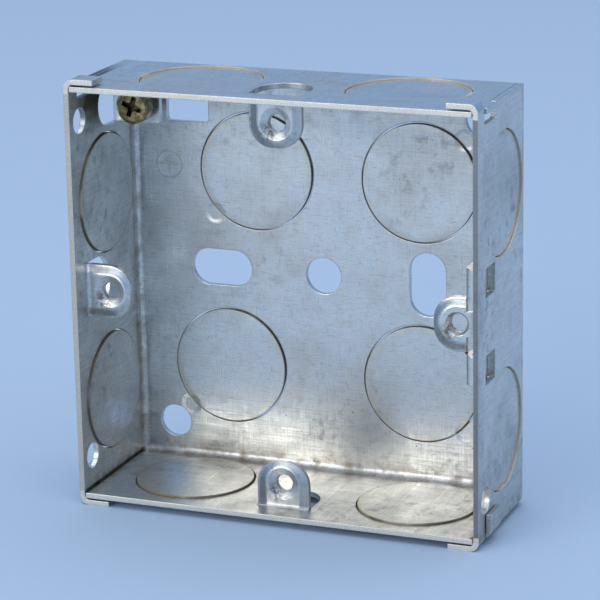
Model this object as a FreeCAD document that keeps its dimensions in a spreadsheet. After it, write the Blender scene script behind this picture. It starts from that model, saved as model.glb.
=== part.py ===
import FreeCAD, Part
import math
import os

# A one-gang flush back box for a plaster wall, folded from one steel sheet.
# +X is the right-hand wall, -Y the open front, +Z up; the box stands on its lower corner tabs.
# Depths are counted from the open front, heights and widths from the middle of the back plate.

doc = FreeCAD.newDocument("metal_back_box")
sheet = doc.addObject("Spreadsheet::Sheet", "Sizes")

sizes = [
    ("boxWidth", 70.0, "over the outside of the side walls"),
    ("boxHeight", 70.0, "over the outside of the top and bottom walls"),
    ("boxDepth", 25.0, "from the open front to the outside of the back plate"),
    ("sheetThick", 0.9, "thickness of the steel sheet"),
    ("bendInner", 1.1, "inner radius of the main folds"),
    ("seamGap", 0.15, "gap between the top or bottom wall and the side walls"),
    ("lugPitch", 60.3, "distance between opposite fixing lug holes"),
    ("lugWidth", 9.0, "width of a fixing lug"),
    ("lugSetback", 4.2, "from the open front to the lug's front face"),
    ("lugTip", 3.9, "from the lug hole's centre to the lug's tip"),
    ("lugTipRadius", 3.9, "corner radius of the lug's tip"),
    ("lugBend", 0.6, "inner radius of the lug's fold"),
    ("lugHole", 3.1, "bore of a lug hole"),
    ("collarWall", 0.8, "wall of the drawn collar behind a lug hole"),
    ("collarLong", 1.0, "length of the drawn collar"),
    ("holeDishWide", 1.1, "width of the dished mouth round a lug hole"),
    ("holeDishDeep", 0.55, "depth of that dish"),
    ("windowSlack", 0.1, "clearance at each side of a lug in the opening it was cut from"),
    ("windowLong", 9.3, "length of the opening that a lug was cut from"),
    ("knockoutSize", 20.4, "diameter of a knockout"),
    ("knockoutGap", 0.25, "width of the sheared line round a knockout"),
    ("knockoutStep", 0.3, "how far a knockout's disc is pushed inwards"),
    ("knockoutBridge", 3.0, "width of the uncut bridge that holds a disc"),
    ("wallKnockoutDepth", 12.6, "knockout centres on the walls, from the open front"),
    ("wallKnockoutHigh", 19.6, "knockout centres on the side walls, from the middle"),
    ("earthSideKnockoutHigh", 14.7, "upper knockout of the left wall, kept clear of the earth tongue"),
    ("topKnockoutLeft", 16.2, "left knockout of the top wall, from the middle"),
    ("topKnockoutRight", 19.4, "right knockout of the top wall, from the middle"),
    ("bottomKnockoutLeft", 19.4, "left knockout of the bottom wall, from the middle"),
    ("bottomKnockoutRight", 20.4, "right knockout of the bottom wall, from the middle"),
    ("backKnockoutSide", 17.2, "back plate knockouts, sideways from the middle"),
    ("backKnockoutHigh", 17.2, "back plate knockouts, up or down from the middle"),
    ("backKnockoutEarthSide", 11.7, "upper left knockout of the back plate, sideways"),
    ("centreHole", 6.3, "hole in the middle of the back plate"),
    ("cornerHole", 5.7, "the two round holes near opposite corners"),
    ("cornerHoleSide", 27.9, "those holes, sideways from the middle"),
    ("cornerHoleHigh", 28.3, "those holes, up or down from the middle"),
    ("slotWide", 6.3, "width of the two fixing slots"),
    ("slotLong", 10.9, "length of the two fixing slots"),
    ("slotSide", 18.4, "slot centres, sideways from the middle"),
    ("wallHole", 4.4, "small round holes near the front corners of the side walls"),
    ("wallHoleDepth", 3.6, "those holes, from the open front"),
    ("wallHoleHigh", 28.6, "those holes, up or down from the middle"),
    ("tabLong", 5.2, "corner tabs that fold over the top and bottom walls"),
    ("tabDeep", 3.8, "depth of a corner tab"),
    ("tabBend", 0.7, "inner radius of a corner tab's fold"),
    ("tabGap", 0.3, "air between a corner tab and the wall under it"),
    ("notchFront", 6.0, "locking notches in the side walls, centre from the open front"),
    ("notchLong", 5.8, "length of a locking notch"),
    ("notchTopHigh", 2.6, "height of the upper notches"),
    ("notchBottomHigh", 1.3, "height of the lower notches"),
    ("lockSlack", 0.3, "clearance between a locking tab and its notch"),
    ("lockHug", 0.15, "air between a folded locking tab and the side wall"),
    ("lockHigh", 4.0, "height of the folded locking tabs"),
    ("lockReach", 0.3, "how far the flat locking tabs stand out of the upper notches"),
    ("earthDepth", 17.2, "from the open front to the front face of the earth tongue"),
    ("earthWide", 6.8, "width of the earth tongue"),
    ("earthLong", 8.2, "reach of the earth tongue from the left wall's inner face"),
    ("earthHigh", 29.2, "middle of the earth tongue above the middle of the box"),
    ("earthCorner", 0.8, "corner radius of the earth tongue"),
    ("earthWindowLong", 7.9, "length of the opening that the earth tongue was cut from"),
    ("earthScrewReach", 4.7, "earth screw's axis, from the left wall's inner face"),
    ("earthSightWide", 7.6, "width of the clearance window beside the earth tongue"),
    ("earthSightHigh", 7.5, "height of that window"),
    ("earthSightReach", 6.3, "near edge of that window from the left wall's inner face"),
    ("earthSightCorner", 0.6, "corner radius of that window"),
    ("screwShank", 3.4, "diameter of the earth screw's shank"),
    ("screwLong", 7.0, "length of the shank under the head"),
    ("screwHead", 5.9, "diameter of the earth screw's head"),
    ("screwHeadHigh", 2.1, "height of the head"),
    ("screwHeadBevel", 0.5, "bevel at the head's rim"),
    ("screwStand", 1.6, "free shank between the head and the earth tongue"),
    ("screwSlack", 0.05, "clearance between the shank and the tongue's hole, per side"),
    ("crossWide", 0.85, "width of the head's cross recess"),
    ("crossSpan", 3.5, "span of the cross recess"),
    ("crossDeep", 1.3, "depth of the cross recess"),
    ("crossFlute", 0.3, "bevel of the inner corners between the recess's arms"),
    ("strapNear", 4.7, "near edge of a strap from the middle of the right wall"),
    ("strapHigh", 4.8, "height of a strap"),
    ("strapFront", 2.7, "front end of a strap, from the open front"),
    ("strapLong", 6.8, "length of a strap"),
    ("strapBend", 0.4, "inner radius of a strap's folds"),
    ("slideThick", 0.9, "thickness of the sliding lug"),
    ("slideSlack", 0.1, "clearance round the sliding lug's rail"),
    ("railHigh", 22.4, "height of the sliding lug's rail"),
    ("neckWide", 4.2, "width of the sliding lug's neck between the straps"),
    ("neckSlack", 0.15, "from the straps' inner faces to the lug's full width"),
]
for row, (alias, value, note) in enumerate(sizes, 1):
    sheet.set(f"A{row}", alias)
    sheet.set(f"B{row}", str(value))
    sheet.set(f"C{row}", note)
    sheet.setAlias(f"B{row}", alias)
doc.recompute()


def size(alias):
    return float(sheet.get(alias))


thick = size("sheetThick")
halfWidth = size("boxWidth") / 2
halfHeight = size("boxHeight") / 2
front = -size("boxDepth") / 2
back = size("boxDepth") / 2
innerWidth = halfWidth - thick
innerHeight = halfHeight - thick
wallEnd = innerWidth - size("seamGap")
bendOuter = size("bendInner") + thick
lugFace = front + size("lugSetback")
lugHoleAt = size("lugPitch") / 2
lugTipAt = lugHoleAt - size("lugTip")

# The same places as expressions, so that the features follow the sheet.
backOut = "Sizes.boxDepth / 2"
backIn = "(Sizes.boxDepth / 2 - Sizes.sheetThick)"
sideOut = "Sizes.boxWidth / 2"
sideIn = "(Sizes.boxWidth / 2 - Sizes.sheetThick)"
topOut = "Sizes.boxHeight / 2"
topIn = "(Sizes.boxHeight / 2 - Sizes.sheetThick)"
frontEdge = "-Sizes.boxDepth / 2"
lugFront = "(-Sizes.boxDepth / 2 + Sizes.lugSetback)"
lugBack = "(-Sizes.boxDepth / 2 + Sizes.lugSetback + Sizes.sheetThick)"


def outline(corners):
    """Edges of a closed outline; each corner is (x, y) or (x, y, radius)."""
    count = len(corners)
    points = [FreeCAD.Vector(c[0], c[1], 0) for c in corners]
    radii = [c[2] if len(c) > 2 else 0.0 for c in corners]
    entries, exits, arcs = [], [], []
    for i, point in enumerate(points):
        if radii[i] <= 0:
            entries.append(point)
            exits.append(point)
            arcs.append(None)
            continue
        before = (points[i - 1] - point).normalize()
        after = (points[(i + 1) % count] - point).normalize()
        half = before.getAngle(after) / 2
        inward = (before + after).normalize()
        setback = radii[i] / math.tan(half)
        centre = point + inward * (radii[i] / math.sin(half))
        entries.append(point + before * setback)
        exits.append(point + after * setback)
        arcs.append(Part.Arc(entries[i], centre - inward * radii[i], exits[i]))
    edges = []
    for i in range(count):
        if arcs[i]:
            edges.append(arcs[i])
        start = exits[i]
        end = entries[(i + 1) % count]
        if start.distanceToPoint(end) > 1e-6:
            edges.append(Part.LineSegment(start, end))
    return edges


def rectangle(x1, y1, x2, y2, radius=0.0):
    return outline([(x1, y1, radius), (x2, y1, radius), (x2, y2, radius), (x1, y2, radius)])


def slot(x, y, length, width, upright=False):
    dx, dy = (width / 2, length / 2) if upright else (length / 2, width / 2)
    return rectangle(x - dx, y - dy, x + dx, y + dy, width / 2 - 1e-4)


def circle(x, y, diameter):
    return [Part.Circle(FreeCAD.Vector(x, y, 0), FreeCAD.Vector(0, 0, 1), diameter / 2)]


def shearedRing(x, y, bridgeAngle):
    """The open ring that is sheared round a knockout, whole but for the bridge at bridgeAngle."""
    outer = size("knockoutSize") / 2
    inner = outer - size("knockoutGap")
    spare = math.asin(size("knockoutBridge") / size("knockoutSize"))
    start = math.radians(bridgeAngle) + spare
    end = math.radians(bridgeAngle) + 2 * math.pi - spare
    centre = FreeCAD.Vector(x, y, 0)
    normal = FreeCAD.Vector(0, 0, 1)
    arcs = [Part.ArcOfCircle(Part.Circle(centre, normal, radius), start, end) for radius in (outer, inner)]
    caps = [Part.LineSegment(arcs[0].value(a), arcs[1].value(a)) for a in (start, end)]
    return arcs + caps


def newBody(label):
    body = doc.addObject("PartDesign::Body", label)
    body.Label = label
    return body


def addSketch(body, name, plane, offset, outlines):
    sketch = body.newObject("Sketcher::SketchObject", name)
    origin = [f for f in body.Origin.OriginFeatures if f.Role == plane][0]
    sketch.AttachmentSupport = [(origin, "")]
    sketch.MapMode = "FlatFace"
    sketch.setExpression("AttachmentOffset.Base.z", offset)
    for edges in outlines:
        sketch.addGeometry(edges, False)
    return sketch


def extrude(body, name, plane, outlines, low, high, cut=False):
    """Pad or pocket the outlines between two places on the axis that the plane faces."""
    before = body.Shape.Volume if body.Tip else 0.0
    facesBack = plane == "XZ_Plane"
    near, far = (f"-({high})", f"-({low})") if facesBack else (low, high)
    sketch = addSketch(body, name + "_sketch", plane, far if cut else near, outlines)
    feature = body.newObject("PartDesign::Pocket" if cut else "PartDesign::Pad", name)
    feature.Profile = sketch
    feature.setExpression("Length", f"({high}) - ({low})")
    doc.recompute()
    change = body.Shape.Volume - before
    if (change >= 0) if cut else (change <= 0):
        raise ValueError(name + " changed nothing")
    return feature


def mirrored(corners, sx, sy):
    return [(c[0] * sx, c[1] * sy) + tuple(c[2:]) for c in corners]


# The folded sheet: side walls and their folds, then top, back plate and bottom.
box = newBody("box_body")
depthIn = back - thick
bendIn = size("bendInner")
sideProfile = outline([
    (-halfWidth, front), (-halfWidth, back, bendOuter), (halfWidth, back, bendOuter), (halfWidth, front),
    (innerWidth, front), (innerWidth, depthIn, bendIn), (-innerWidth, depthIn, bendIn), (-innerWidth, front)])
extrude(box, "side_walls", "XY_Plane", [sideProfile], f"-({topOut})", topOut)
topProfile = outline([
    (front, -halfHeight), (back, -halfHeight, bendOuter), (back, halfHeight, bendOuter), (front, halfHeight),
    (front, innerHeight), (depthIn, innerHeight, bendIn), (depthIn, -innerHeight, bendIn),
    (front, -innerHeight)])
wallEndText = f"({sideIn} - Sizes.seamGap)"
extrude(box, "top_and_bottom", "YZ_Plane", [topProfile], f"-{wallEndText}", wallEndText)

# The back corners are rounded both ways where the folds meet.
cornerWaste = []
for up in (-1, 1):
    bendStart = back - bendOuter
    arcMiddle = bendOuter * math.sqrt(0.5)
    a = FreeCAD.Vector(bendStart, up * halfHeight, 0)
    b = FreeCAD.Vector(back, up * (halfHeight - bendOuter), 0)
    middle = FreeCAD.Vector(bendStart + arcMiddle, up * (halfHeight - bendOuter + arcMiddle), 0)
    over = 1.0
    p = FreeCAD.Vector(bendStart, up * (halfHeight + over), 0)
    q = FreeCAD.Vector(back + over, up * (halfHeight + over), 0)
    r = FreeCAD.Vector(back + over, up * (halfHeight - bendOuter), 0)
    cornerWaste.append([Part.Arc(a, middle, b), Part.LineSegment(b, r), Part.LineSegment(r, q),
                        Part.LineSegment(q, p), Part.LineSegment(p, a)])
extrude(box, "back_corner_rounding", "YZ_Plane", cornerWaste, f"-({sideOut})", sideOut, cut=True)

# Corner tabs of the side walls fold over the top and bottom walls at the open front.
tabTop = halfHeight + size("tabGap") + thick
tabRoot = halfHeight - 3 * thick
tabCorners = [
    (halfWidth, tabRoot), (halfWidth, tabTop, size("tabBend") + thick),
    (halfWidth - size("tabLong"), tabTop), (halfWidth - size("tabLong"), tabTop - thick),
    (innerWidth, tabTop - thick, size("tabBend")), (innerWidth, tabRoot)]
tabs = [outline(mirrored(tabCorners, sx, sy)) for sx in (-1, 1) for sy in (-1, 1)]
extrude(box, "corner_tabs", "XZ_Plane", tabs, frontEdge, f"{frontEdge} + Sizes.tabDeep")

# Locking notches in the side walls, and the tabs of the top and bottom walls that lie in them.
notchStart = front + size("notchFront") - size("notchLong") / 2
notchEnd = notchStart + size("notchLong")
notches = [
    rectangle(notchStart, halfHeight - size("notchTopHigh"), notchEnd, halfHeight + thick, 0.3),
    rectangle(notchStart, -halfHeight - thick, notchEnd, -halfHeight + size("notchBottomHigh"), 0.3)]
extrude(box, "notches_right", "YZ_Plane", notches, sideIn, sideOut, cut=True)
extrude(box, "notches_left", "YZ_Plane", notches, f"-({sideOut})", f"-{sideIn}", cut=True)
flatReach = halfWidth + size("lockReach")
lockOuter = halfWidth + size("lockHug") + thick
lockRoot = wallEnd - 2 * thick
flatLock = [
    (lockRoot, innerHeight), (flatReach, innerHeight), (flatReach, halfHeight),
    (lockRoot, halfHeight)]
foldLock = [
    (lockRoot, -halfHeight), (lockOuter, -halfHeight, size("tabBend") + thick),
    (lockOuter, -halfHeight + size("lockHigh")), (lockOuter - thick, -halfHeight + size("lockHigh")),
    (lockOuter - thick, -innerHeight, size("lockHug")), (lockRoot, -innerHeight)]
locks = [outline(mirrored(c, sx, 1)) for c in (flatLock, foldLock) for sx in (-1, 1)]
notchMiddle = f"({frontEdge} + Sizes.notchFront)"
lockHalf = "(Sizes.notchLong / 2 - Sizes.lockSlack)"
extrude(box, "locking_tabs", "XZ_Plane", locks, f"{notchMiddle} - {lockHalf}", f"{notchMiddle} + {lockHalf}")


# Fixing lugs: each is cut free of its wall on three sides and folded in from the front.
lugBend = size("lugBend")
lugHalf = size("lugWidth") / 2
windowHalf = lugHalf + size("windowSlack")
windowStart = lugFace - lugBend
windowEnd = windowStart + size("windowLong")
windowRound = windowHalf - 0.05
alongTop = [(-windowHalf, windowStart), (windowHalf, windowStart), (windowHalf, windowEnd, windowRound),
            (-windowHalf, windowEnd, windowRound)]
alongSide = [(y, x) + tuple(rest) for x, y, *rest in alongTop]
extrude(box, "lug_opening_top", "XY_Plane", [outline(alongTop)], topIn, topOut, cut=True)
extrude(box, "lug_opening_bottom", "XY_Plane", [outline(alongTop)], f"-({topOut})", f"-{topIn}", cut=True)
extrude(box, "lug_opening_left", "YZ_Plane", [outline(alongSide)], f"-({sideOut})", f"-{sideIn}", cut=True)


def foldArc(wallInner, sign):
    """Quarter-ring section of a lug's fold as (depth, height) corners on the wall's inner face."""
    start = wallInner * sign
    foot = (wallInner - lugBend) * sign
    outer = (wallInner + thick) * sign
    return outline([
        (windowStart, start), (windowStart, outer), (lugFace + thick, outer, lugBend + thick),
        (lugFace + thick, foot), (lugFace, foot), (lugFace, start, lugBend)])


halfLug = "Sizes.lugWidth / 2"
extrude(box, "lug_folds_top_bottom", "YZ_Plane", [foldArc(innerHeight, 1), foldArc(innerHeight, -1)],
        f"-({halfLug})", halfLug)
leftFold = outline([
    (-innerWidth, windowStart), (-halfWidth, windowStart), (-halfWidth, lugFace + thick, lugBend + thick),
    (-innerWidth + lugBend, lugFace + thick), (-innerWidth + lugBend, lugFace),
    (-innerWidth, lugFace, lugBend)])
extrude(box, "lug_fold_left", "XY_Plane", [leftFold], f"-({halfLug})", halfLug)


def lugPlate(root):
    """Outline of a lug that points down from a wall above it, with the tip's rounded corners."""
    tipRound = min(size("lugTipRadius"), lugHalf - 0.05)
    return [(-lugHalf, root), (-lugHalf, lugTipAt, tipRound), (lugHalf, lugTipAt, tipRound), (lugHalf, root)]


topPlate = lugPlate(innerHeight - lugBend)
leftPlate = [(-y, x) + tuple(rest) for x, y, *rest in lugPlate(innerWidth - lugBend)]
plates = [outline(topPlate), outline(mirrored(topPlate, 1, -1)), outline(leftPlate)]
extrude(box, "lug_plates", "XZ_Plane", plates, lugFront, lugBack)
lugCentres = [(0, lugHoleAt), (0, -lugHoleAt), (-lugHoleAt, 0)]
collarSize = size("lugHole") + 2 * size("collarWall")
collarEnd = f"{lugBack} + Sizes.collarLong"
extrude(box, "lug_collars", "XZ_Plane", [circle(x, z, collarSize) for x, z in lugCentres], lugBack, collarEnd)
extrude(box, "lug_holes", "XZ_Plane", [circle(x, z, size("lugHole")) for x, z in lugCentres],
        lugFront, collarEnd, cut=True)


def dishHoleMouths(body, name, radius, depth, wide):
    """Dish the mouths of the holes of one radius that open in one plane across the depth."""
    base = body.Tip
    found = []
    for i, edge in enumerate(body.Shape.Edges, 1):
        curve = edge.Curve
        if not isinstance(curve, Part.Circle) or abs(curve.Radius - radius) > 1e-4:
            continue
        if abs(curve.Center.y - depth) < 1e-4 and abs(abs(curve.Axis.y) - 1) < 1e-4:
            found.append(f"Edge{i}")
    dish = body.newObject("PartDesign::Chamfer", name)
    dish.Base = (base, found)
    dish.ChamferType = "Two distances"
    dish.setExpression("Size", wide)
    dish.setExpression("Size2", "Sizes.holeDishDeep")
    doc.recompute()


dishHoleMouths(box, "lug_hole_mouths", size("lugHole") / 2, lugFace, "Sizes.holeDishWide")

# Straps pressed in from the right wall: two bridges that hold the sliding lug's rail.
strapStart = front + size("strapFront")
strapEnd = strapStart + size("strapLong")
railOuter = innerWidth - size("knockoutStep") - size("slideSlack")
railInner = railOuter - size("slideThick")
strapFace = railInner - size("slideSlack")
strapInner = strapFace - thick
strapBend = size("strapBend")
strapLow = "Sizes.strapNear"
strapTop = "(Sizes.strapNear + Sizes.strapHigh)"
strapCuts = [rectangle(strapStart, up * size("strapNear"), strapEnd,
                       up * (size("strapNear") + size("strapHigh"))) for up in (-1, 1)]
extrude(box, "strap_openings", "YZ_Plane", strapCuts, sideIn, sideOut, cut=True)
strapProfile = outline([
    (halfWidth, strapStart), (strapInner, strapStart, strapBend + thick),
    (strapInner, strapEnd, strapBend + thick), (halfWidth, strapEnd),
    (halfWidth, strapEnd - thick), (strapFace, strapEnd - thick, strapBend),
    (strapFace, strapStart + thick, strapBend), (halfWidth, strapStart + thick)])
extrude(box, "strap_upper", "XY_Plane", [strapProfile], strapLow, strapTop)
extrude(box, "strap_lower", "XY_Plane", [strapProfile], f"-{strapTop}", f"-{strapLow}")

# Earth tongue: cut from the left wall near the back and folded in, with a tapped hole for the screw.
earthFace = front + size("earthDepth")
earthHalf = size("earthWide") / 2
earthTip = -innerWidth + size("earthLong")
earthLow = "(Sizes.earthHigh - Sizes.earthWide / 2)"
earthTop = "(Sizes.earthHigh + Sizes.earthWide / 2)"
earthHinge = earthFace + thick + lugBend
earthWindowTip = earthHinge - size("earthWindowLong")
earthWindowHalf = earthHalf + size("windowSlack")
earthWindow = outline([
    (earthHinge, size("earthHigh") - earthWindowHalf), (earthHinge, size("earthHigh") + earthWindowHalf),
    (earthWindowTip, size("earthHigh") + earthWindowHalf, earthWindowHalf - 0.05),
    (earthWindowTip, size("earthHigh") - earthWindowHalf, earthWindowHalf - 0.05)])
extrude(box, "earth_opening", "YZ_Plane", [earthWindow], f"-({sideOut})", f"-{sideIn}", cut=True)
earthFold = outline([
    (-innerWidth, earthHinge), (-halfWidth, earthHinge), (-halfWidth, earthFace, lugBend + thick),
    (-innerWidth + lugBend, earthFace), (-innerWidth + lugBend, earthFace + thick),
    (-innerWidth, earthFace + thick, lugBend)])
extrude(box, "earth_fold", "XY_Plane", [earthFold], earthLow, earthTop)
earthPlate = outline([
    (-innerWidth + lugBend, size("earthHigh") - earthHalf),
    (earthTip, size("earthHigh") - earthHalf, size("earthCorner")),
    (earthTip, size("earthHigh") + earthHalf, size("earthCorner")),
    (-innerWidth + lugBend, size("earthHigh") + earthHalf)])
earthFront = f"({frontEdge} + Sizes.earthDepth)"
earthBack = f"({frontEdge} + Sizes.earthDepth + Sizes.sheetThick)"
extrude(box, "earth_tongue", "XZ_Plane", [earthPlate], earthFront, earthBack)
screwX = -innerWidth + size("earthScrewReach")
screwZ = size("earthHigh")
tappedHole = size("screwShank") + 2 * size("screwSlack")
extrude(box, "earth_hole", "XZ_Plane", [circle(screwX, screwZ, tappedHole)], earthFront, earthBack, cut=True)

# Plain holes of the back plate: centre hole, two slots, two corner holes and the window by the earth screw.
sightLeft = -innerWidth + size("earthSightReach")
sightLow = size("earthHigh") - earthHalf - size("sheetThick")
backHoles = [
    circle(0, 0, size("centreHole")),
    slot(-size("slotSide"), 0, size("slotLong"), size("slotWide")),
    slot(size("slotSide"), 0, size("slotLong"), size("slotWide"), upright=True),
    circle(-size("cornerHoleSide"), -size("cornerHoleHigh"), size("cornerHole")),
    circle(size("cornerHoleSide"), size("cornerHoleHigh"), size("cornerHole")),
    rectangle(sightLeft, sightLow, sightLeft + size("earthSightWide"), sightLow + size("earthSightHigh"),
              size("earthSightCorner"))]
extrude(box, "back_holes", "XZ_Plane", backHoles, backIn, backOut, cut=True)

# Small round holes near the front corners: two in the left wall, one low in the right wall.
holeDepth = front + size("wallHoleDepth")
leftHoles = [circle(holeDepth, up * size("wallHoleHigh"), size("wallHole")) for up in (-1, 1)]
extrude(box, "wall_holes_left", "YZ_Plane", leftHoles, f"-({sideOut})", f"-{sideIn}", cut=True)
extrude(box, "wall_hole_right", "YZ_Plane", leftHoles[:1], sideIn, sideOut, cut=True)


def knockouts(name, plane, inner, outer, centres):
    """Shear each disc free but for its bridge, and push it in by the step."""
    inwards = outer.startswith("-")
    step = "Sizes.knockoutStep"
    low, high = (outer, inner) if inwards else (inner, outer)
    rings = [shearedRing(x, y, angle) for x, y, angle in centres]
    extrude(box, name + "_rings", plane, rings, low, high, cut=True)
    disc = size("knockoutSize") - 2 * size("knockoutGap")
    discs = [circle(x, y, disc) for x, y, angle in centres]
    raised = (inner, f"{inner} + {step}") if inwards else (f"{inner} - {step}", inner)
    sunk = (outer, f"{outer} + {step}") if inwards else (f"{outer} - {step}", outer)
    extrude(box, name + "_raised", plane, discs, *raised)
    extrude(box, name + "_sunk", plane, discs, *sunk, cut=True)


backSide = size("backKnockoutSide")
backHigh = size("backKnockoutHigh")
wallDepth = front + size("wallKnockoutDepth")
wallHigh = size("wallKnockoutHigh")
knockouts("back_knockouts", "XZ_Plane", backIn, backOut, [
    (-size("backKnockoutEarthSide"), backHigh, 225), (backSide, backHigh, 45),
    (-backSide, -backHigh, 225), (backSide, -backHigh, 315)])
knockouts("right_knockouts", "YZ_Plane", sideIn, sideOut, [
    (wallDepth, wallHigh, 90), (wallDepth, -wallHigh, 270)])
knockouts("left_knockouts", "YZ_Plane", f"-{sideIn}", f"-({sideOut})", [
    (wallDepth, size("earthSideKnockoutHigh"), 180), (wallDepth, -wallHigh, 270)])
knockouts("top_knockouts", "XY_Plane", topIn, topOut, [
    (-size("topKnockoutLeft"), wallDepth, 180), (size("topKnockoutRight"), wallDepth, 0)])
knockouts("bottom_knockouts", "XY_Plane", f"-{topIn}", f"-({topOut})", [
    (-size("bottomKnockoutLeft"), wallDepth, 180), (size("bottomKnockoutRight"), wallDepth, 0)])

# The sliding lug: a rail that runs under both straps, with a lug folded in at its front edge.
lug = newBody("sliding_lug")
railFront = strapStart + thick + size("slideSlack")
railBack = strapEnd - thick - size("slideSlack")
slideThick = size("slideThick")
foldEnd = lugFace + slideThick + lugBend
neckHalf = size("neckWide") / 2
lugRoot = strapInner - size("neckSlack")
halfRail = "Sizes.railHigh / 2"
halfNeck = "Sizes.neckWide / 2"
railProfile = outline([
    (railInner, railFront, strapBend), (railOuter, railFront), (railOuter, railBack),
    (railInner, railBack, strapBend)])
extrude(lug, "rail", "XY_Plane", [railProfile], f"-{halfRail}", halfRail)
reliefHalf = neckHalf + size("neckSlack")
relief = rectangle(railFront - thick, -reliefHalf, foldEnd, reliefHalf)
slideFace = f"({sideIn} - Sizes.knockoutStep - Sizes.slideSlack)"
extrude(lug, "neck_relief", "YZ_Plane", [relief], f"{slideFace} - Sizes.slideThick", slideFace, cut=True)
slideFold = outline([
    (railInner, foldEnd + slideThick), (railInner, lugFace + slideThick, lugBend),
    (railInner - lugBend, lugFace + slideThick), (railInner - lugBend, lugFace),
    (railOuter, lugFace, lugBend + slideThick), (railOuter, foldEnd + slideThick)])
extrude(lug, "lug_fold", "XY_Plane", [slideFold], f"-{halfNeck}", halfNeck)
slideTipRound = min(size("lugTipRadius"), lugHalf - 0.05)
slidePlate = outline([
    (railInner - lugBend, -neckHalf), (railInner - lugBend, neckHalf), (lugRoot, neckHalf),
    (lugRoot, lugHalf), (lugTipAt, lugHalf, slideTipRound), (lugTipAt, -lugHalf, slideTipRound),
    (lugRoot, -lugHalf), (lugRoot, -neckHalf)])
slideBack = f"({lugFront} + Sizes.slideThick)"
extrude(lug, "lug_plate", "XZ_Plane", [slidePlate], lugFront, slideBack)
slideCollarEnd = f"{slideBack} + Sizes.collarLong"
extrude(lug, "lug_collar", "XZ_Plane", [circle(lugHoleAt, 0, collarSize)], slideBack, slideCollarEnd)
extrude(lug, "lug_hole", "XZ_Plane", [circle(lugHoleAt, 0, size("lugHole"))],
        lugFront, slideCollarEnd, cut=True)
neckDish = "min(Sizes.holeDishWide; Sizes.neckWide / 2 - Sizes.lugHole / 2 - Sizes.neckSlack)"
dishHoleMouths(lug, "lug_hole_mouth", size("lugHole") / 2, lugFace, neckDish)

# The earth screw: turned head and shank, with a cross recess in the head.
screw = newBody("earth_screw")
underHead = earthFace - size("screwStand")
headFace = underHead - size("screwHeadHigh")
shankEnd = underHead + size("screwLong")
headRadius = size("screwHead") / 2
shankRadius = size("screwShank") / 2
headBevel = size("screwHeadBevel")
tipChamfer = shankRadius / 3
screwProfile = outline([
    (0, headFace), (headRadius - headBevel, headFace), (headRadius, headFace + headBevel),
    (headRadius, underHead),
    (shankRadius, underHead), (shankRadius, shankEnd - tipChamfer), (shankRadius - tipChamfer, shankEnd),
    (0, shankEnd)])
turning = addSketch(screw, "turned_profile", "XY_Plane", "0", [screwProfile])
turned = screw.newObject("PartDesign::Revolution", "turned_screw")
turned.Profile = turning
turned.ReferenceAxis = (turning, ["V_Axis"])
turned.Angle = 360
doc.recompute()
armHalf = size("crossWide") / 2
spanHalf = size("crossSpan") / 2
headText = f"({frontEdge} + Sizes.earthDepth - Sizes.screwStand - Sizes.screwHeadHigh)"
cross = outline([
    (armHalf, armHalf), (armHalf, spanHalf), (-armHalf, spanHalf), (-armHalf, armHalf), (-spanHalf, armHalf),
    (-spanHalf, -armHalf), (-armHalf, -armHalf), (-armHalf, -spanHalf), (armHalf, -spanHalf),
    (armHalf, -armHalf), (spanHalf, -armHalf), (spanHalf, armHalf)])
extrude(screw, "cross_recess", "XZ_Plane", [cross], headText, f"{headText} + Sizes.crossDeep", cut=True)
fluteHalf = size("crossWide") + size("crossFlute")
flute = outline([(fluteHalf, 0), (0, fluteHalf), (-fluteHalf, 0), (0, -fluteHalf)])
extrude(screw, "cross_flutes", "XZ_Plane", [flute], headText, f"{headText} + Sizes.crossDeep", cut=True)

# Everything is lifted so that the lower corner tabs touch the ground plane.
screwTurn = FreeCAD.Rotation(FreeCAD.Vector(0, 1, 0), 20)
box.Placement = FreeCAD.Placement(FreeCAD.Vector(0, 0, tabTop), FreeCAD.Rotation())
lug.Placement = FreeCAD.Placement(FreeCAD.Vector(0, 0, tabTop), FreeCAD.Rotation())
screw.Placement = FreeCAD.Placement(FreeCAD.Vector(screwX, 0, screwZ + tabTop), screwTurn)
doc.recompute()

for item in doc.Objects:
    if "Invalid" in item.State or "Error" in item.State:
        raise ValueError(item.Name + " failed")
os.makedirs("parts", exist_ok=True)
for body in (box, lug, screw):
    shape = body.Shape
    if shape.isNull() or not shape.isValid() or len(shape.Solids) != 1:
        raise ValueError(body.Label + " is not one valid solid")
    print(body.Label, round(shape.Volume, 2), shape.BoundBox)
    shape.exportStep(f"parts/{body.Label}.step")
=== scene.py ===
import math
import bpy
from mathutils import Matrix, Vector


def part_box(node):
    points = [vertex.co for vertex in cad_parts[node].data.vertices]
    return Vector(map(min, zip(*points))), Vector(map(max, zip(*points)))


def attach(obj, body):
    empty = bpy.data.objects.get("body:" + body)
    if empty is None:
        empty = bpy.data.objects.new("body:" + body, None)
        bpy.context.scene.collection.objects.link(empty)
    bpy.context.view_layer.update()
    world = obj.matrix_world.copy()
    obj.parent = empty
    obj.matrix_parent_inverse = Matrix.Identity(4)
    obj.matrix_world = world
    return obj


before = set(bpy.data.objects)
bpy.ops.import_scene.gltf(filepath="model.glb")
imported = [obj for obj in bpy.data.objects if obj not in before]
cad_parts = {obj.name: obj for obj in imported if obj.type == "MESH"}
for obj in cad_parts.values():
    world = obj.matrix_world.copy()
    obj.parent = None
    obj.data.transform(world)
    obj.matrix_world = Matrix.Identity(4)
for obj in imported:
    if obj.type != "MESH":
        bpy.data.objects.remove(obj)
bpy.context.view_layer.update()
mm = 0.001

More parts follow.
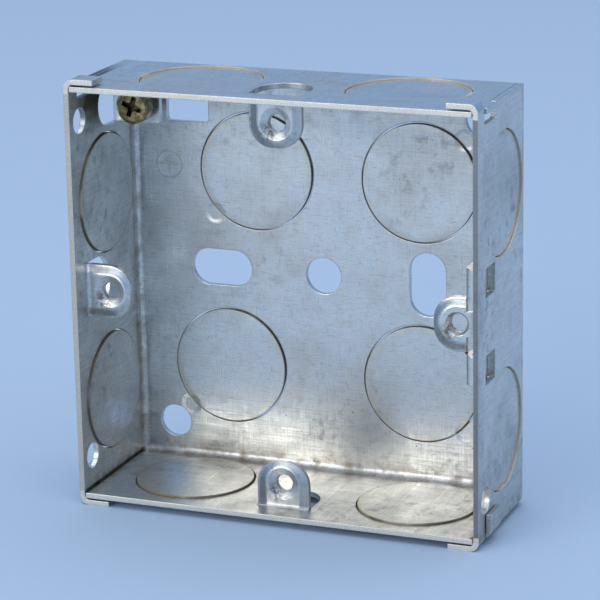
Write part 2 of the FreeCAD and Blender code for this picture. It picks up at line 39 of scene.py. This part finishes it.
# places on the box, in mm from the middle of its underside
boxPlaces = {
    "middleHigh": 36.2,
    "frontDepth": -12.5,
    "backInner": 11.6,
    "sideInner": 34.1,
    "bottomInner": 2.1,
    # planes that part the outer face of the right wall and of the top wall from the inner one
    "rightParting": 34.4,
    "topParting": 70.6,
    # just clear of the left wall, and of the top and bottom walls when taken from the middle height
    "leftClear": -33.0,
    "endClear": 33.8,
    "discRadius": 9.95,
    "lugDepth": -8.3,
    "lugPitch": 60.3,
    # middle of each disc, and the direction of the bridge that holds it
    "discs": [
        ((-11.7, 11.8, 53.4), (-0.707, 0, -0.707)), ((17.2, 11.8, 53.4), (0.707, 0, 0.707)),
        ((-17.2, 11.8, 19.0), (-0.707, 0, -0.707)), ((17.2, 11.8, 19.0), (0.707, 0, -0.707)),
        ((34.3, 0.1, 55.8), (0, 0, 1)), ((34.3, 0.1, 16.6), (0, 0, -1)),
        ((-34.3, 0.1, 50.9), (0, -1, 0)), ((-34.3, 0.1, 16.6), (0, 0, -1)),
        ((-16.2, 0.1, 70.5), (-1, 0, 0)), ((19.4, 0.1, 70.5), (1, 0, 0)),
        ((-19.4, 0.1, 1.9), (-1, 0, 0)), ((20.4, 0.1, 1.9), (1, 0, 0))],
}


class Sock:
    # one output of a shader node, so that shader maths reads as sums
    def __init__(self, net, link):
        self.net = net
        self.link = link

    def maths(self, operation, other=0.0):
        return self.net.node("ShaderNodeMath", {"operation": operation}, {0: self, 1: other})

    def __add__(self, other):
        return self.maths("ADD", other)

    def __sub__(self, other):
        return self.maths("SUBTRACT", other)

    def __mul__(self, other):
        return self.maths("MULTIPLY", other)

    def __pow__(self, other):
        return self.maths("POWER", other)

    def __abs__(self):
        return self.maths("ABSOLUTE")

    def __rsub__(self, other):
        return self.net.node("ShaderNodeMath", {"operation": "SUBTRACT"}, {0: other, 1: self})

    __radd__ = __add__
    __rmul__ = __mul__

    def smaller(self, other):
        return self.maths("MINIMUM", other)

    def larger(self, other):
        return self.maths("MAXIMUM", other)

    def above(self, limit):
        return self.maths("GREATER_THAN", limit)

    def below(self, limit):
        return self.maths("LESS_THAN", limit)

    def ease(self, start, end, low=0.0, high=1.0):
        # runs from low to high while the value goes from start to end
        return self.net.node("ShaderNodeMapRange", {"interpolation_type": "SMOOTHSTEP"},
                             {0: self, 1: start, 2: end, 3: low, 4: high})


class Net:
    # the node tree of a material or of the world
    def __init__(self, owner):
        self.owner = owner
        owner.use_nodes = True
        self.tree = owner.node_tree
        self.tree.nodes.clear()

    def node(self, kind, settings=None, sockets=None, output=0):
        made = self.tree.nodes.new(kind)
        for key, value in (settings or {}).items():
            setattr(made, key, value)
        for key, value in (sockets or {}).items():
            if isinstance(value, Sock):
                self.tree.links.new(value.link, made.inputs[key])
            else:
                made.inputs[key].default_value = value
        return Sock(self, made.outputs[output] if made.outputs else None)

    def mix(self, share, first, second):
        return self.node("ShaderNodeMix", {"data_type": "RGBA"}, {0: share, 6: first, 7: second}, output=2)

    def blend(self, share, first, second):
        return self.node("ShaderNodeMix", {"data_type": "FLOAT"}, {0: share, 2: first, 3: second})

    def join(self, x, y, z):
        return self.node("ShaderNodeCombineXYZ", None, {0: x, 1: y, 2: z})

    def split(self, vector):
        return [self.node("ShaderNodeSeparateXYZ", None, {0: vector}, output=i) for i in range(3)]

    def noise(self, vector, scale, detail=2.0, rough=0.5):
        return self.node("ShaderNodeTexNoise", None,
                         {"Vector": vector, "Scale": scale, "Detail": detail, "Roughness": rough})

    def cells(self, vector, scale):
        # how far a place lies from the nearest of scattered points
        return self.node("ShaderNodeTexVoronoi", {"feature": "F1"}, {"Vector": vector, "Scale": scale})

    def place(self):
        # object coordinates in mm
        raw = self.node("ShaderNodeTexCoord", output=3)
        return self.node("ShaderNodeVectorMath", {"operation": "SCALE"}, {0: raw, "Scale": 1000.0})

    def distance(self, vector, point):
        return self.node("ShaderNodeVectorMath", {"operation": "DISTANCE"}, {0: vector, 1: point}, output=1)

    def nearest(self, vector, points):
        found = self.distance(vector, points[0])
        for point in points[1:]:
            found = found.smaller(self.distance(vector, point))
        return found

    def surface(self, colour, roughness, normal, metallic=1.0):
        shader = self.node("ShaderNodeBsdfPrincipled", None, {
            "Base Color": colour, "Roughness": roughness, "Normal": normal, "Metallic": metallic})
        self.node("ShaderNodeOutputMaterial", None, {"Surface": shader})
        return self.owner


# zinc-plated sheet, with lengths in mm and noise sizes as repeats in a mm
sheetValues = {
    "bright": (0.76, 0.75, 0.71, 1), "dull": (0.50, 0.49, 0.46, 1), "grey": (0.27, 0.27, 0.26, 1),
    # the dark smudge colour darkens dirt, seams and specks, and also paints shade
    "stain": (0.33, 0.25, 0.16, 1), "smudgeAndShade": (0.10, 0.075, 0.05, 1), "edgeHighlight": (0.80, 0.77, 0.70, 1),
    "ringLight": (0.62, 0.55, 0.42, 1), "ringDark": (0.17, 0.13, 0.08, 1),
    # the cut front edge on the left, along the top and bottom, and on the right: one cut face in lit and
    # shaded copies, with painted light along the top and bottom and painted shade on the right
    "cutLeft": (0.60, 0.55, 0.46, 1), "cutEndsPaintedLight": (0.86, 0.80, 0.68, 1), "cutRightPaintedShade": (0.20, 0.21, 0.23, 1),
    # roughness of clean zinc, and what each mark adds to it
    "roughness": 0.24, "grainRoughness": 0.14, "dullRoughness": 0.16, "mottleRoughness": 0.1,
    "stainRoughness": 0.2, "holeShadeRoughness": 0.25, "cutRoughness": 0.16, "ringRoughness": 0.3,
    # rolling grain and strokes, across their lines and along them
    "grainFine": 4.5, "grainLong": 0.07, "grainHeight": 0.004,
    "strokeFine": 8.5, "strokeLong": 0.55, "strokeShare": 0.5,
    # what makes the zinc dull, and the grey mottling
    "cloudSize": 0.045, "cloudShare": 0.5, "blotchSize": 0.27, "blotchShare": 0.25, "grainShare": 0.3,
    "mottleSize": 0.42, "mottleShare": 0.55,
    # how far the brown stain reaches from the folds and corners, and the dark line in the seams
    "foldReach": 3.2, "cornerReach": 2.4, "sideFoldReach": 2.2, "seamReach": 0.7, "seamShare": 0.8,
    # painted shade to the lower left of each lug hole, placed from the middle of the hole
    "holeShadeAside": (-1.3, 0, -1.4), "holeShadeRadius": 2.3, "holeShadeShare": 0.85,
    # painted shade: a dark patch on the left wall by the earth screw
    "shadePlace": (-34.1, -2.0, 69.5), "shadeRadius": 12.0, "shadeRagged": 5, "shadeShare": 0.95,
    # pin holes in the plating
    "speckSize": 0.33, "fineSpeckSize": 0.99, "speckShare": 0.6, "speckDeep": 0.03,
    "cutShare": 0.9, "shearFine": 5, "shearShare": 0.45, "shearDeep": 0.02,
    # how far the edges roll over, and the strength of their painted highlight
    "edgeRadius": 0.24, "edgeHighlightShare": 0.6,
    # the sheet is not quite flat
    "waveSize": 0.085, "waveHeight": 0.16,
    # the sheared lines round the discs, and the paler band inside them
    "ringGrimeWide": 0.24, "ringMetallic": 0.35, "ringShare": 0.85,
    "bandStart": 1.5, "bandEnd": 0.4, "bandShare": 0.45,
    "discRimWide": 1.0, "discRimDeep": 0.025,
    "bridgeOut": 0.9, "bridgeRadius": 2.0, "bridgeDeep": 0.12,
    # the lugs are crowned: from the hole to the rim, over the depth that the lugs take up
    "crownStart": 2.7, "crownEnd": 4.6, "crownDeep": 1.0, "crownRoot": 6.0,
    "crownDepth": -8.0, "crownSpan": 0.5,
}

# stamped earth sign on the back plate
signValues = {
    "x": -27.5, "z": 53.5, "radius": 2.3, "line": 0.17, "soft": 0.102, "deep": 0.07,
    # height above the middle and half-width of each bar
    "bars": [(1.25, 0.5), (0.7, 0.95), (0.15, 1.4)], "stemTop": 0.15, "stemEnd": -1.45,
}


def lugHoles():
    reach = boxPlaces["lugPitch"] / 2
    high = boxPlaces["middleHigh"]
    depth = boxPlaces["lugDepth"]
    return {"top": (0, depth, high + reach), "bottom": (0, depth, high - reach),
            "left": (-reach, depth, high), "right": (reach, depth, high)}


def lugCrown(x, y, z):
    # how far a place lies from the hole, or from the lug's middle line on the side of its root
    v = sheetValues
    farOff = 20.0
    holes = lugHoles()
    found = None
    for name in holes:
        px, py, pz = holes[name]
        upright = name in ("top", "bottom")
        sideways = x - px if upright else z - pz
        rootward = z - pz if upright else x - px
        if name in ("bottom", "left"):
            rootward = rootward * -1.0
        tip = rootward.smaller(0.0)
        past = rootward.above(v["crownRoot"]) * farOff
        away = (sideways * sideways + tip * tip) ** 0.5 + past
        found = away if found is None else found.smaller(away)
    onLug = abs(y - v["crownDepth"]).below(v["crownSpan"])
    return found.ease(v["crownStart"], v["crownEnd"]) * onLug


def earthSign(x, y, z):
    # a ring with three bars and a stem in it, each line soft at its sides
    v = signValues
    half = v["line"] / 2
    side = half + v["soft"]
    across = abs(x - v["x"])
    up = z - v["z"]
    fromMiddle = (across * across + up * up) ** 0.5
    sign = abs(fromMiddle - v["radius"]).ease(half, side, 1, 0)
    for high, wide in v["bars"]:
        bar = abs(up - high).ease(half, side, 1, 0) * across.ease(wide, wide + v["soft"], 1, 0)
        sign = sign.larger(bar)
    stem = across.ease(half, side, 1, 0) * up.below(v["stemTop"]) * up.above(v["stemEnd"])
    onPlate = abs(y - boxPlaces["backInner"]).below(0.25)
    return sign.larger(stem) * onPlate


def rollingGrain(net, along, across):
    v = sheetValues
    rolled = net.noise(net.join(along * v["grainLong"], across * v["grainFine"], 3.1), 1.0, 3.0, 0.65)
    drawn = net.noise(net.join(along * v["grainFine"], across * v["grainLong"], 7.7), 1.0, 3.0, 0.65)
    return rolled * 0.6 + drawn * 0.4


def brownStrokes(net, along, across):
    v = sheetValues
    rolled = net.noise(net.join(along * v["strokeLong"], across * v["strokeFine"], 1.7), 1.0, 2.0, 0.6)
    drawn = net.noise(net.join(along * v["strokeFine"], across * v["strokeLong"], 5.3), 1.0, 2.0, 0.6)
    return rolled.ease(0.58, 0.7).larger(drawn.ease(0.6, 0.72)) * v["strokeShare"]


def foldStains(net, p, x, y, z):
    # brown stain along the back's folds and in the lower corners, and the dark seams of those corners
    v = sheetValues
    fromBack = (y - boxPlaces["backInner"]) ** 2
    fromSide = (abs(x) - boxPlaces["sideInner"]) ** 2
    fromBottom = (z - boxPlaces["bottomInner"]) ** 2
    bottomFold = ((fromBack + fromBottom) ** 0.5).ease(0.6, v["foldReach"], 1, 0) * 0.7
    sideFold = ((fromBack + fromSide) ** 0.5).ease(0.5, v["sideFoldReach"], 1, 0) * 0.6
    fromCorner = (fromSide + fromBottom) ** 0.5
    corner = fromCorner.ease(0.4, v["cornerReach"], 1, 0) * 0.8
    patches = net.noise(p, 0.35, 4.0, 0.65).ease(0.4, 0.66)
    stain = bottomFold.larger(corner).larger(sideFold) * patches
    return stain, fromCorner.ease(0.25, v["seamReach"], 1, 0)


def leftWallShade(net, p, x):
    v = sheetValues
    away = net.distance(p, v["shadePlace"]) + net.noise(p, 0.5, 3.0, 0.6) * v["shadeRagged"]
    return away.ease(v["shadeRadius"] * 0.45, v["shadeRadius"], 1, 0) * x.below(boxPlaces["leftClear"])


# painted shade to the lower left of each lug hole, where the dished hole falls into shadow
def lugHoleShade(net, p):
    v = sheetValues
    spots = [tuple(place + aside for place, aside in zip(hole, v["holeShadeAside"]))
             for hole in lugHoles().values()]
    patches = net.noise(p, 1.3, 3.0, 0.7).ease(0.38, 0.6)
    return net.nearest(p, spots).ease(0.5, v["holeShadeRadius"], 1, 0) * patches


def pinHoles(net, p):
    # a few coarse ones, and fine ones in patches
    v = sheetValues
    coarse = net.cells(p, v["speckSize"]).ease(0.03, 0.075, 1, 0) * net.noise(p, 0.21, 1.0).above(0.56)
    fine = net.cells(p, v["fineSpeckSize"]).ease(0.07, 0.15, 1, 0)
    patches = net.noise(p, 0.13, 3.0, 0.7).ease(0.52, 0.62)
    return coarse.larger(fine * patches * 0.8)


def cutEdge(net, x, y, z, ny):
    # where the front edge was sheared across its thickness, its grain, and its colour on each side, with
    # painted light along the top and bottom and painted shade on the right
    v = sheetValues
    cut = y.below(boxPlaces["frontDepth"] + 0.03) * ny.above(0.7)
    shear = net.noise(net.join(x * v["shearFine"], 0.0, z * v["shearFine"]), 1.0, 2.0, 0.7)
    endWalls = abs(z - boxPlaces["middleHigh"]).above(boxPlaces["endClear"])
    colour = net.mix(endWalls, net.mix(x.above(0.0), v["cutLeft"], v["cutRightPaintedShade"]), v["cutEndsPaintedLight"])
    colour = net.mix(shear.ease(0.45, 0.65) * v["shearShare"], colour, v["stain"])
    return cut, shear, colour


def discMarks(net, p):
    # the sheared line round each disc, the pale band inside it, and how far rim and bridge dip
    v = sheetValues
    radius = boxPlaces["discRadius"]
    away = net.nearest(p, [middle for middle, way in boxPlaces["discs"]])
    ring = abs(away - radius - 0.1).ease(v["ringGrimeWide"] * 0.5, v["ringGrimeWide"], 1, 0)
    band = away.ease(radius - v["bandStart"], radius - v["bandEnd"]) * away.below(radius)
    band = band * net.noise(p, 0.2, 3.0).ease(0.4, 0.6)
    rim = away.ease(radius - v["discRimWide"], radius) * away.below(radius + 0.02)
    bridges = [tuple(m + w * (radius + v["bridgeOut"]) for m, w in zip(middle, way))
               for middle, way in boxPlaces["discs"]]
    bridge = net.nearest(p, bridges).ease(v["bridgeRadius"] * 0.55, v["bridgeRadius"], 1, 0)
    return ring, band, rim * v["discRimDeep"] + bridge * v["bridgeDeep"]


def zincSheet(name):
    v = sheetValues
    net = Net(bpy.data.materials.new(name))
    p = net.place()
    x, y, z = net.split(p)
    trueNormal = net.node("ShaderNodeNewGeometry", output=3)
    nx, ny, nz = [abs(n) for n in net.split(trueNormal)]
    along = net.blend(nx.above(0.7), x, y)
    across = net.blend(nz.above(0.7), z, y)

    # rolled zinc that is duller in clouds, with strokes and mottling
    grain = rollingGrain(net, along, across)
    cloud = net.noise(p, v["cloudSize"], 4.0, 0.6).ease(0.42, 0.62)
    blotch = net.noise(p, v["blotchSize"], 3.0, 0.6).ease(0.45, 0.7)
    dull = cloud * v["cloudShare"] + blotch * v["blotchShare"] + grain.ease(0.42, 0.62) * v["grainShare"]
    mottle = net.noise(p, v["mottleSize"], 5.0, 0.7).ease(0.5, 0.68)
    mottle = mottle * net.noise(p, 0.05, 2.0).ease(0.42, 0.6)
    colour = net.mix(dull, v["bright"], v["dull"])
    colour = net.mix(brownStrokes(net, along, across), colour, v["stain"])
    colour = net.mix(mottle * v["mottleShare"], colour, v["grey"])
    roughness = v["roughness"] + grain.ease(0.35, 0.65) * v["grainRoughness"] + dull * v["dullRoughness"]
    roughness = roughness + mottle * v["mottleRoughness"]

    # stains, dirt and pin holes, with painted shade on the left wall and beside the lug holes
    stain, seam = foldStains(net, p, x, y, z)
    shade = leftWallShade(net, p, x)
    holeShade = lugHoleShade(net, p)
    speck = pinHoles(net, p)
    colour = net.mix(stain, colour, v["stain"])
    # painted shade on the left wall by the earth screw is mixed in here with the dark corner seams
    colour = net.mix((seam * v["seamShare"]).larger(shade * v["shadeShare"]), colour, v["smudgeAndShade"])
    # painted shade beside the lug holes
    colour = net.mix(holeShade * v["holeShadeShare"], colour, v["smudgeAndShade"])
    colour = net.mix(speck * v["speckShare"], colour, v["smudgeAndShade"])
    roughness = roughness + stain * v["stainRoughness"] + holeShade * v["holeShadeRoughness"]

    # edges: the front one is cut, and all are rolled over a little and given a painted highlight
    cut, shear, cutLitAndShaded = cutEdge(net, x, y, z, ny)
    ring, band, sunk = discMarks(net, p)
    soft = net.node("ShaderNodeBevel", {"samples": 6}, {"Radius": v["edgeRadius"] * mm})
    turned = net.node("ShaderNodeVectorMath", {"operation": "DOT_PRODUCT"},
                      {0: soft, 1: trueNormal}, output=1)
    # painted highlight along the edges, kept off the lines round the discs
    edgeHighlight = turned.ease(0.995, 0.93) * (1 - ring)
    # the cut front edge, with its painted light and shade
    colour = net.mix(cut * v["cutShare"], colour, cutLitAndShaded)
    colour = net.mix(edgeHighlight * v["edgeHighlightShare"], colour, v["edgeHighlight"])

    # the lines round the discs look lighter on the outer faces and here and there inside
    outside = x.above(boxPlaces["rightParting"]).larger(z.above(boxPlaces["topParting"]))
    lighter = outside.larger(net.noise(p, 0.12, 2.0).ease(0.5, 0.6) * 0.6)
    colour = net.mix(band * v["bandShare"], colour, v["ringLight"])
    colour = net.mix(ring * v["ringShare"], colour, net.mix(lighter, v["ringDark"], v["ringLight"]))
    roughness = roughness + cut * v["cutRoughness"] + ring * v["ringRoughness"]

    # all that stands proud or is sunk
    height = net.noise(p, v["waveSize"], 1.0) * v["waveHeight"] + grain * v["grainHeight"] - sunk
    height = height + earthSign(x, y, z) * signValues["deep"] + shear * cut * v["shearDeep"]
    height = height - speck * v["speckDeep"] - lugCrown(x, y, z) * v["crownDeep"]
    bumped = net.node("ShaderNodeBump", None, {
        "Strength": 1.0, "Distance": mm, "Height": height, "Normal": soft})
    return net.surface(colour, roughness, bumped, metallic=1 - ring * (1 - v["ringMetallic"]))


# aged brass of the earth screw
brassValues = {
    "bright": (0.55, 0.43, 0.19, 1), "aged": (0.11, 0.085, 0.045, 1), "dirt": (0.04, 0.03, 0.02, 1),
    "agedShare": 0.8, "dirtShare": 0.75,
    "roughness": 0.26, "agedRoughness": 0.2, "dirtRoughness": 0.2,
    # the cross recess, where dirt lies, below the head's face and out from its middle
    "recessStart": 0.12, "recessDepth": 1.35, "recessRadius": 2.0,
    "edgeRadius": 0.12, "turningFine": 6, "turningHeight": 0.01,
}


def agedBrass(name):
    v = brassValues
    net = Net(bpy.data.materials.new(name))
    p = net.place()
    x, y, z = net.split(p)
    low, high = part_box("earth_screw")
    middle = (low + high) / 2 / mm
    face = low.y / mm
    away = ((x - middle.x) ** 2 + (z - middle.z) ** 2) ** 0.5
    aged = net.noise(p, 0.9, 4.0, 0.6).ease(0.38, 0.6)
    inDepth = y.above(face + v["recessStart"]) * y.below(face + v["recessDepth"])
    dirt = inDepth * away.below(v["recessRadius"])
    colour = net.mix(aged * v["agedShare"], v["bright"], v["aged"])
    colour = net.mix(dirt * v["dirtShare"], colour, v["dirt"])
    roughness = v["roughness"] + aged * v["agedRoughness"] + dirt * v["dirtRoughness"]
    turning = net.noise(net.join(away * v["turningFine"], y * v["turningFine"], 0.0), 1.0, 2.0, 0.6)
    soft = net.node("ShaderNodeBevel", {"samples": 6}, {"Radius": v["edgeRadius"] * mm})
    bumped = net.node("ShaderNodeBump", None, {
        "Strength": 1.0, "Distance": mm, "Height": turning * v["turningHeight"], "Normal": soft})
    return net.surface(colour, roughness, bumped)


sheetMetal = zincSheet("zinc_sheet")
brass = agedBrass("aged_brass")
for nodeName, material in (("box_body", sheetMetal), ("sliding_lug", sheetMetal), ("earth_screw", brass)):
    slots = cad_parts[nodeName].data.materials
    slots.clear()
    slots.append(material)
print("finishes of the CAD pieces are made")


# machine threads, which the CAD solids leave plain, in mm
threadValues = {
    "lugPitch": 0.6, "lugRadius": 1.56, "lugHeight": 0.16, "lugStart": 0.62, "lugTurns": 2,
    "screwPitch": 0.7, "screwRadius": 1.68, "screwHeight": 0.25, "screwStart": 2.35, "screwTurns": 9,
    # how many steps make a turn, and how the ridge's three corners are spread along the pitch
    "steps": 40, "ridgeSpread": 0.504,
}


def deselectAll():
    for item in bpy.context.selected_objects:
        item.select_set(False)


def helixRidge(name, radius, height, pitch, turns, centre, material, body):
    # a three-cornered ridge wound along +Y round the centre; a negative height points it inwards
    middle = (radius + height / 3, 0, 0)
    deselectAll()
    bpy.ops.mesh.primitive_circle_add(vertices=3, radius=abs(height) / 1.5, fill_type="NGON",
                                      location=middle)
    ridge = bpy.context.object
    ridge.name = name
    bpy.ops.object.mode_set(mode="EDIT")
    bpy.ops.mesh.select_all(action="SELECT")
    turn = math.pi / 2 if height > 0 else -math.pi / 2
    spread = pitch * threadValues["ridgeSpread"] / abs(height)
    bpy.ops.transform.rotate(value=turn, orient_axis="Z", center_override=middle)
    bpy.ops.transform.resize(value=(1, spread, 1), center_override=middle)
    bpy.ops.object.mode_set(mode="OBJECT")
    bpy.ops.object.transform_apply(location=True, rotation=True, scale=True)
    screw = ridge.modifiers.new("winding", "SCREW")
    screw.axis = "Y"
    screw.angle = 2 * math.pi
    screw.screw_offset = pitch
    screw.iterations = turns
    screw.steps = threadValues["steps"]
    screw.render_steps = threadValues["steps"]
    screw.use_merge_vertices = True
    screw.merge_threshold = 1e-7
    bpy.ops.object.modifier_apply(modifier=screw.name)
    ridge.location = centre
    bpy.ops.object.transform_apply(location=True, rotation=True, scale=True)
    bpy.ops.object.mode_set(mode="EDIT")
    bpy.ops.mesh.select_all(action="SELECT")
    bpy.ops.mesh.normals_make_consistent(inside=False)
    bpy.ops.object.mode_set(mode="OBJECT")
    bpy.ops.object.shade_smooth_by_angle(angle=math.radians(35))
    ridge.data.materials.append(material)
    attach(ridge, body)
    return ridge


t = threadValues
for where, (px, py, pz) in lugHoles().items():
    body = "lug_slider" if where == "right" else "box"
    metal = "galvanised_lug" if where == "right" else "galvanised_sheet"
    centre = Vector((px, py + t["lugStart"], pz)) * mm
    helixRidge("lug_thread_" + where, t["lugRadius"] * mm, -t["lugHeight"] * mm, t["lugPitch"] * mm,
               t["lugTurns"], centre, sheetMetal, body)
screwLow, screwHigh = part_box("earth_screw")
screwAxis = (screwLow + screwHigh) / 2
screwAxis.y = screwLow.y + t["screwStart"] * mm
helixRidge("earth_screw_thread", t["screwRadius"] * mm, t["screwHeight"] * mm, t["screwPitch"] * mm,
           t["screwTurns"], screwAxis, brass, "box")
print("threads are wound")

# pale blue paper that the box stands on
floorValues = {
    "size": 8.0, "colour": (0.41, 0.56, 0.78, 1), "roughness": 0.9,
    "toothSize": 2.0, "toothStrength": 0.15, "toothDeep": 0.1,
}


def paperFloor():
    v = floorValues
    deselectAll()
    bpy.ops.mesh.primitive_plane_add(size=v["size"], location=(0, 0, 0))
    floor = bpy.context.object
    floor.name = "paper_floor"
    net = Net(bpy.data.materials.new("blue_paper"))
    p = net.place()
    tooth = net.noise(p, v["toothSize"], 2.0, 0.6)
    bumped = net.node("ShaderNodeBump", None, {
        "Strength": v["toothStrength"], "Distance": v["toothDeep"] * mm, "Height": tooth})
    floor.data.materials.append(net.surface(v["colour"], v["roughness"], bumped, metallic=0.0))


paperFloor()

# studio lamps: name, place in metres, width, height, watts, colour; all look at one point
lampValues = [
    ("front_left_softbox", (-0.5, -1.1, 0.46), 0.9, 0.62, 6.4, (1.0, 0.96, 0.86)),
    ("top_softbox", (0.1, 0.0, 1.3), 2.2, 2.2, 20.0, (0.97, 0.98, 1.0)),
    ("right_fill", (1.1, -0.5, 0.5), 0.5, 0.5, 1.2, (0.9, 0.95, 1.0)),
]
lampAim = (0, 0, 0.03)
# metal sees the backdrop's colour all round; the rest of the light comes from a dimmer sky
worldValues = {"backdrop": (0.20, 0.36, 0.64, 1), "sky": (0.50, 0.60, 0.75, 1), "skyStrength": 0.35}


def studioLamps():
    aim = Vector(lampAim)
    for name, place, wide, high, watts, colour in lampValues:
        data = bpy.data.lights.new(name, "AREA")
        data.shape = "RECTANGLE"
        data.size = wide
        data.size_y = high
        data.energy = watts
        data.color = colour
        lamp = bpy.data.objects.new(name, data)
        lamp.location = place
        lamp.rotation_euler = (aim - Vector(place)).to_track_quat("-Z", "Y").to_euler()
        bpy.context.scene.collection.objects.link(lamp)
    world = bpy.data.worlds.new("studio")
    net = Net(world)
    seen = net.node("ShaderNodeLightPath", output=0).larger(net.node("ShaderNodeLightPath", output=3))
    sky = net.node("ShaderNodeBackground", None, {
        "Color": worldValues["sky"], "Strength": worldValues["skyStrength"]})
    backdrop = net.node("ShaderNodeBackground", None, {"Color": worldValues["backdrop"], "Strength": 1.0})
    both = net.node("ShaderNodeMixShader", None, {0: seen, 1: sky, 2: backdrop})
    net.node("ShaderNodeOutputWorld", None, {"Surface": both})
    bpy.context.scene.world = world


studioLamps()
print("floor and lamps are set")

# camera at the photo's angle; the target is in metres, the angles in degrees
cameraValues = {
    "azimuth": 21.909, "elevation": 15.981, "roll": -1.122, "distance": 0.44122,
    "target": (0.005323, -0.0125, 0.039091), "lens": 167.08, "sensor": 36.0, "clip": (0.01, 50),
}


def photoCamera():
    v = cameraValues
    azimuth, elevation, roll = [math.radians(v[k]) for k in ("azimuth", "elevation", "roll")]
    back = Vector((math.sin(azimuth) * math.cos(elevation), -math.cos(azimuth) * math.cos(elevation),
                   math.sin(elevation)))
    level = Vector((math.cos(azimuth), math.sin(azimuth), 0))
    up = back.cross(level)
    right = level * math.cos(roll) + up * math.sin(roll)
    upright = up * math.cos(roll) - level * math.sin(roll)
    data = bpy.data.cameras.new("photo_camera")
    data.lens = v["lens"]
    data.sensor_width = v["sensor"]
    data.clip_start, data.clip_end = v["clip"]
    camera = bpy.data.objects.new("photo_camera", data)
    turn = Matrix((right, upright, back)).transposed().to_4x4()
    camera.matrix_world = Matrix.Translation(Vector(v["target"]) + back * v["distance"]) @ turn
    bpy.context.scene.collection.objects.link(camera)
    bpy.context.scene.camera = camera


photoCamera()
bpy.context.scene.view_settings.view_transform = "Standard"
print("camera is placed")
